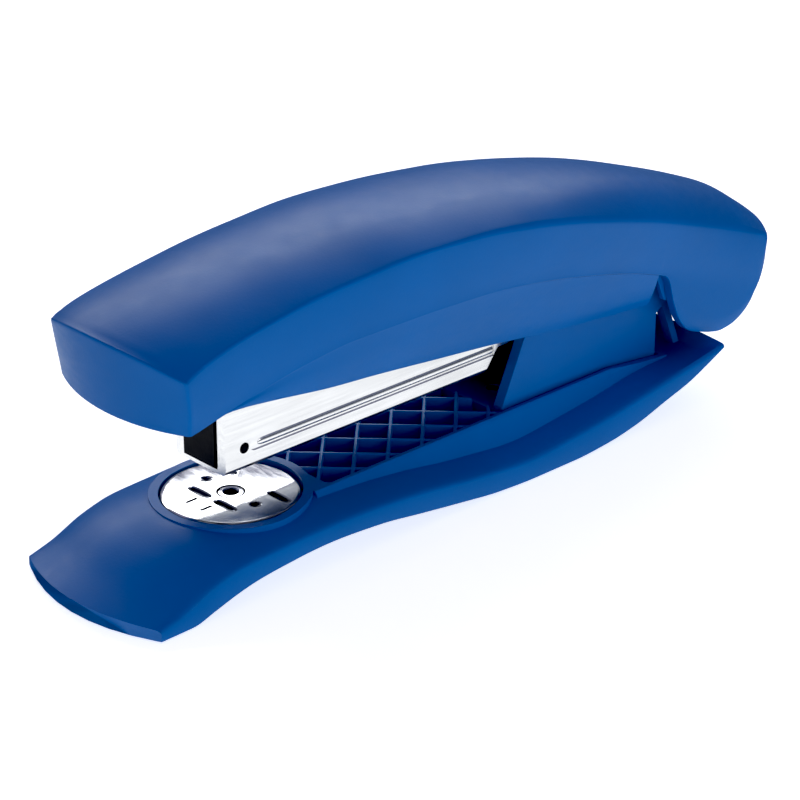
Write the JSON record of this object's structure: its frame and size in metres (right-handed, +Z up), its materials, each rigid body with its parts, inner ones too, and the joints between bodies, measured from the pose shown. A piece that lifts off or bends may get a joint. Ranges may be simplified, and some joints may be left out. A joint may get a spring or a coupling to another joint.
{
  "type": "hand stapler",
  "caption": "Hand-operated desk stapler with an arched plastic handle, wave-shaped base, turning anvil disc, steel staple magazine with spring-fed pusher and driver blade.",
  "frame": {"origin": "centre of the bounding box at the table, under the feet", "axes": "-X to the front where the staple comes out, +X to the hinge at the rear, +Y to the left side, +Z up"},
  "size_m": [0.185, 0.0408, 0.0626],
  "materials": {
    "blue_plastic": "fine-grained matt moulding",
    "black_plastic": "matt moulding",
    "nickelled_steel": "bright nickel plate",
    "zinc_steel": "zinc-plated, satin",
    "spring_steel": "bare spring steel",
    "rubber": "soft matt pad"
  },
  "bodies": {
    "base": {"base_shell": "blue_plastic", "foot_front_left": "rubber", "foot_front_right": "rubber", "foot_rear_left": "rubber", "foot_rear_right": "rubber", "anvil_rivet": "nickelled_steel", "anvil_washer": "spring_steel", "hinge_bracket": "blue_plastic", "bracket_screw_front": "zinc_steel", "bracket_screw_rear": "zinc_steel", "hinge_axle": "zinc_steel", "axle_clip_left": "spring_steel", "axle_clip_right": "spring_steel", "magazine_stop_pin": "zinc_steel", "return_spring": "spring_steel"},
    "anvil": {"anvil_disc": "nickelled_steel"},
    "magazine": {"magazine_channel": "nickelled_steel", "magazine_nose": "black_plastic", "staple_rail": "nickelled_steel", "staple_strip": "zinc_steel", "guide_rod": "zinc_steel", "feed_spring": "spring_steel", "magazine_saddle": "black_plastic"},
    "pusher": {"pusher": "black_plastic"},
    "handle": {"handle_cap": "blue_plastic", "handle_skirt": "blue_plastic", "driver_arm": "zinc_steel", "frame_screw_front": "zinc_steel", "frame_screw_rear": "zinc_steel", "driver_blade": "spring_steel", "blade_holder": "zinc_steel", "blade_rivet_left": "zinc_steel", "blade_rivet_right": "zinc_steel", "handle_spring": "spring_steel"}
  },
  "joints": [
    {"name": "magazine_swing", "type": "hinge", "parent": "base", "child": "magazine", "pos_m": [0.07625, 0, 0.026], "axis": [0, -1, 0], "range_deg": [0, 3.3], "stiffness_Nm_per_rad": 5, "springref_deg": -3.44, "deforming": ["return_spring"]},
    {"name": "handle_swing", "type": "hinge", "parent": "magazine", "child": "handle", "pos_m": [0.07625, 0, 0.026], "axis": [0, -1, 0], "range_deg": [-50, 3.3], "stiffness_Nm_per_rad": 1, "springref_deg": -3.72},
    {"name": "pusher_slide", "type": "slide", "parent": "magazine", "child": "pusher", "axis": [1, 0, 0], "range_m": [0, 0.014], "stiffness_N_per_m": 150, "springref_m": -0.02, "deforming": ["feed_spring"]},
    {"name": "anvil_turn", "type": "hinge", "parent": "base", "child": "anvil", "pos_m": [-0.05325, 0, 0.012], "axis": [0, 0, 1], "range_deg": [0, 180]}
  ]
}
